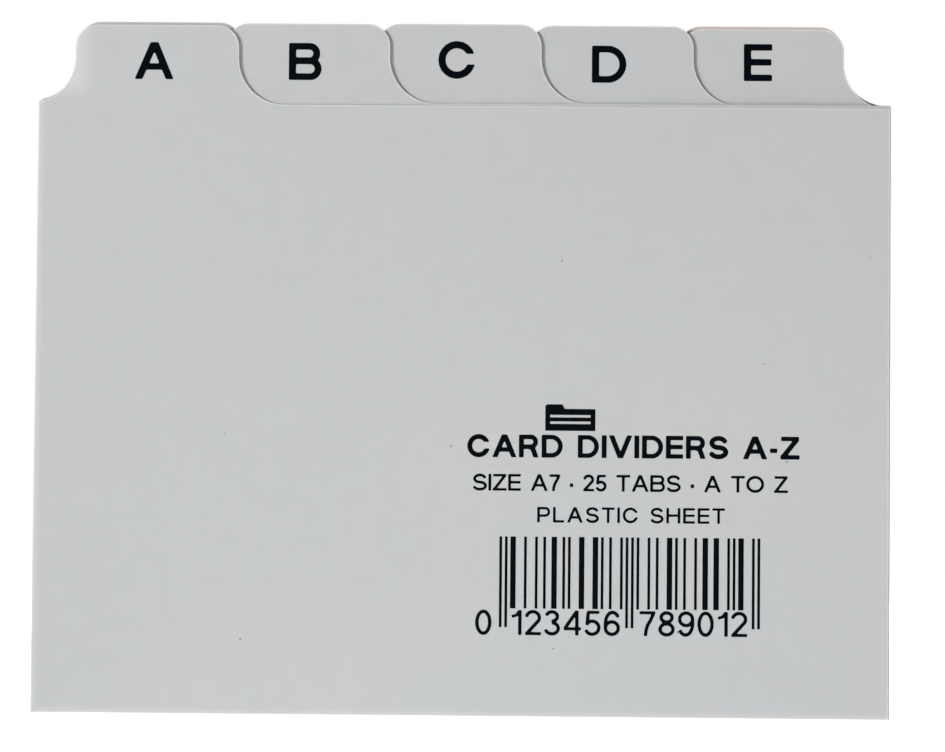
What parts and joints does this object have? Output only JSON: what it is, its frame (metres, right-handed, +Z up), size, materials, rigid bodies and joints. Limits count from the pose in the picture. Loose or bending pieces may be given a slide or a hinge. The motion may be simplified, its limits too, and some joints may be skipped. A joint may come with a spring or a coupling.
{
  "type": "card index divider set",
  "caption": "Standing pack of loose A7 plastic index dividers with rounded, staggered letter tabs; each divider lifts out of the pack.",
  "frame": {"origin": "middle of the pack's footprint, on the surface that the dividers stand on", "axes": "+Z up through the index tabs, +X to the reader's right, -Y towards the reader, so the front divider (letter A) faces -Y"},
  "size_m": [0.1052, 0.0098, 0.0856],
  "materials": {
    "divider_plastic": "light grey sheet, fine matt emboss, die-cut edges",
    "printing_ink": "near-black screen-printed ink, satin"
  },
  "bodies": {
    "divider_a": {"divider_a": "divider_plastic"},
    "divider_b": {"divider_b": "divider_plastic"},
    "divider_c": {"divider_c": "divider_plastic"},
    "divider_d": {"divider_d": "divider_plastic"},
    "divider_e": {"divider_e": "divider_plastic"},
    "divider_f": {"divider_f": "divider_plastic"},
    "divider_g": {"divider_g": "divider_plastic"},
    "divider_h": {"divider_h": "divider_plastic"},
    "divider_i": {"divider_i": "divider_plastic"},
    "divider_j": {"divider_j": "divider_plastic"},
    "divider_k": {"divider_k": "divider_plastic"},
    "divider_l": {"divider_l": "divider_plastic"},
    "divider_m": {"divider_m": "divider_plastic"},
    "divider_n": {"divider_n": "divider_plastic"},
    "divider_o": {"divider_o": "divider_plastic"},
    "divider_p": {"divider_p": "divider_plastic"},
    "divider_q": {"divider_q": "divider_plastic"},
    "divider_r": {"divider_r": "divider_plastic"},
    "divider_s": {"divider_s": "divider_plastic"},
    "divider_t": {"divider_t": "divider_plastic"},
    "divider_u": {"divider_u": "divider_plastic"},
    "divider_v": {"divider_v": "divider_plastic"},
    "divider_w": {"divider_w": "divider_plastic"},
    "divider_xy": {"divider_xy": "divider_plastic"},
    "divider_z": {"divider_z": "divider_plastic"}
  },
  "joints": [
    {"name": "lift_a", "type": "slide", "parent": "divider_z", "child": "divider_a", "axis": [0, 0, 1], "range_m": [0, 0.09]},
    {"name": "lift_b", "type": "slide", "parent": "divider_z", "child": "divider_b", "axis": [0, 0, 1], "range_m": [0, 0.09]},
    {"name": "lift_c", "type": "slide", "parent": "divider_z", "child": "divider_c", "axis": [0, 0, 1], "range_m": [0, 0.09]},
    {"name": "lift_d", "type": "slide", "parent": "divider_z", "child": "divider_d", "axis": [0, 0, 1], "range_m": [0, 0.09]},
    {"name": "lift_e", "type": "slide", "parent": "divider_z", "child": "divider_e", "axis": [0, 0, 1], "range_m": [0, 0.09]},
    {"name": "lift_f", "type": "slide", "parent": "divider_z", "child": "divider_f", "axis": [0, 0, 1], "range_m": [0, 0.09]},
    {"name": "lift_g", "type": "slide", "parent": "divider_z", "child": "divider_g", "axis": [0, 0, 1], "range_m": [0, 0.09]},
    {"name": "lift_h", "type": "slide", "parent": "divider_z", "child": "divider_h", "axis": [0, 0, 1], "range_m": [0, 0.09]},
    {"name": "lift_i", "type": "slide", "parent": "divider_z", "child": "divider_i", "axis": [0, 0, 1], "range_m": [0, 0.09]},
    {"name": "lift_j", "type": "slide", "parent": "divider_z", "child": "divider_j", "axis": [0, 0, 1], "range_m": [0, 0.09]},
    {"name": "lift_k", "type": "slide", "parent": "divider_z", "child": "divider_k", "axis": [0, 0, 1], "range_m": [0, 0.09]},
    {"name": "lift_l", "type": "slide", "parent": "divider_z", "child": "divider_l", "axis": [0, 0, 1], "range_m": [0, 0.09]},
    {"name": "lift_m", "type": "slide", "parent": "divider_z", "child": "divider_m", "axis": [0, 0, 1], "range_m": [0, 0.09]},
    {"name": "lift_n", "type": "slide", "parent": "divider_z", "child": "divider_n", "axis": [0, 0, 1], "range_m": [0, 0.09]},
    {"name": "lift_o", "type": "slide", "parent": "divider_z", "child": "divider_o", "axis": [0, 0, 1], "range_m": [0, 0.09]},
    {"name": "lift_p", "type": "slide", "parent": "divider_z", "child": "divider_p", "axis": [0, 0, 1], "range_m": [0, 0.09]},
    {"name": "lift_q", "type": "slide", "parent": "divider_z", "child": "divider_q", "axis": [0, 0, 1], "range_m": [0, 0.09]},
    {"name": "lift_r", "type": "slide", "parent": "divider_z", "child": "divider_r", "axis": [0, 0, 1], "range_m": [0, 0.09]},
    {"name": "lift_s", "type": "slide", "parent": "divider_z", "child": "divider_s", "axis": [0, 0, 1], "range_m": [0, 0.09]},
    {"name": "lift_t", "type": "slide", "parent": "divider_z", "child": "divider_t", "axis": [0, 0, 1], "range_m": [0, 0.09]},
    {"name": "lift_u", "type": "slide", "parent": "divider_z", "child": "divider_u", "axis": [0, 0, 1], "range_m": [0, 0.09]},
    {"name": "lift_v", "type": "slide", "parent": "divider_z", "child": "divider_v", "axis": [0, 0, 1], "range_m": [0, 0.09]},
    {"name": "lift_w", "type": "slide", "parent": "divider_z", "child": "divider_w", "axis": [0, 0, 1], "range_m": [0, 0.09]},
    {"name": "lift_xy", "type": "slide", "parent": "divider_z", "child": "divider_xy", "axis": [0, 0, 1], "range_m": [0, 0.09]}
  ]
}
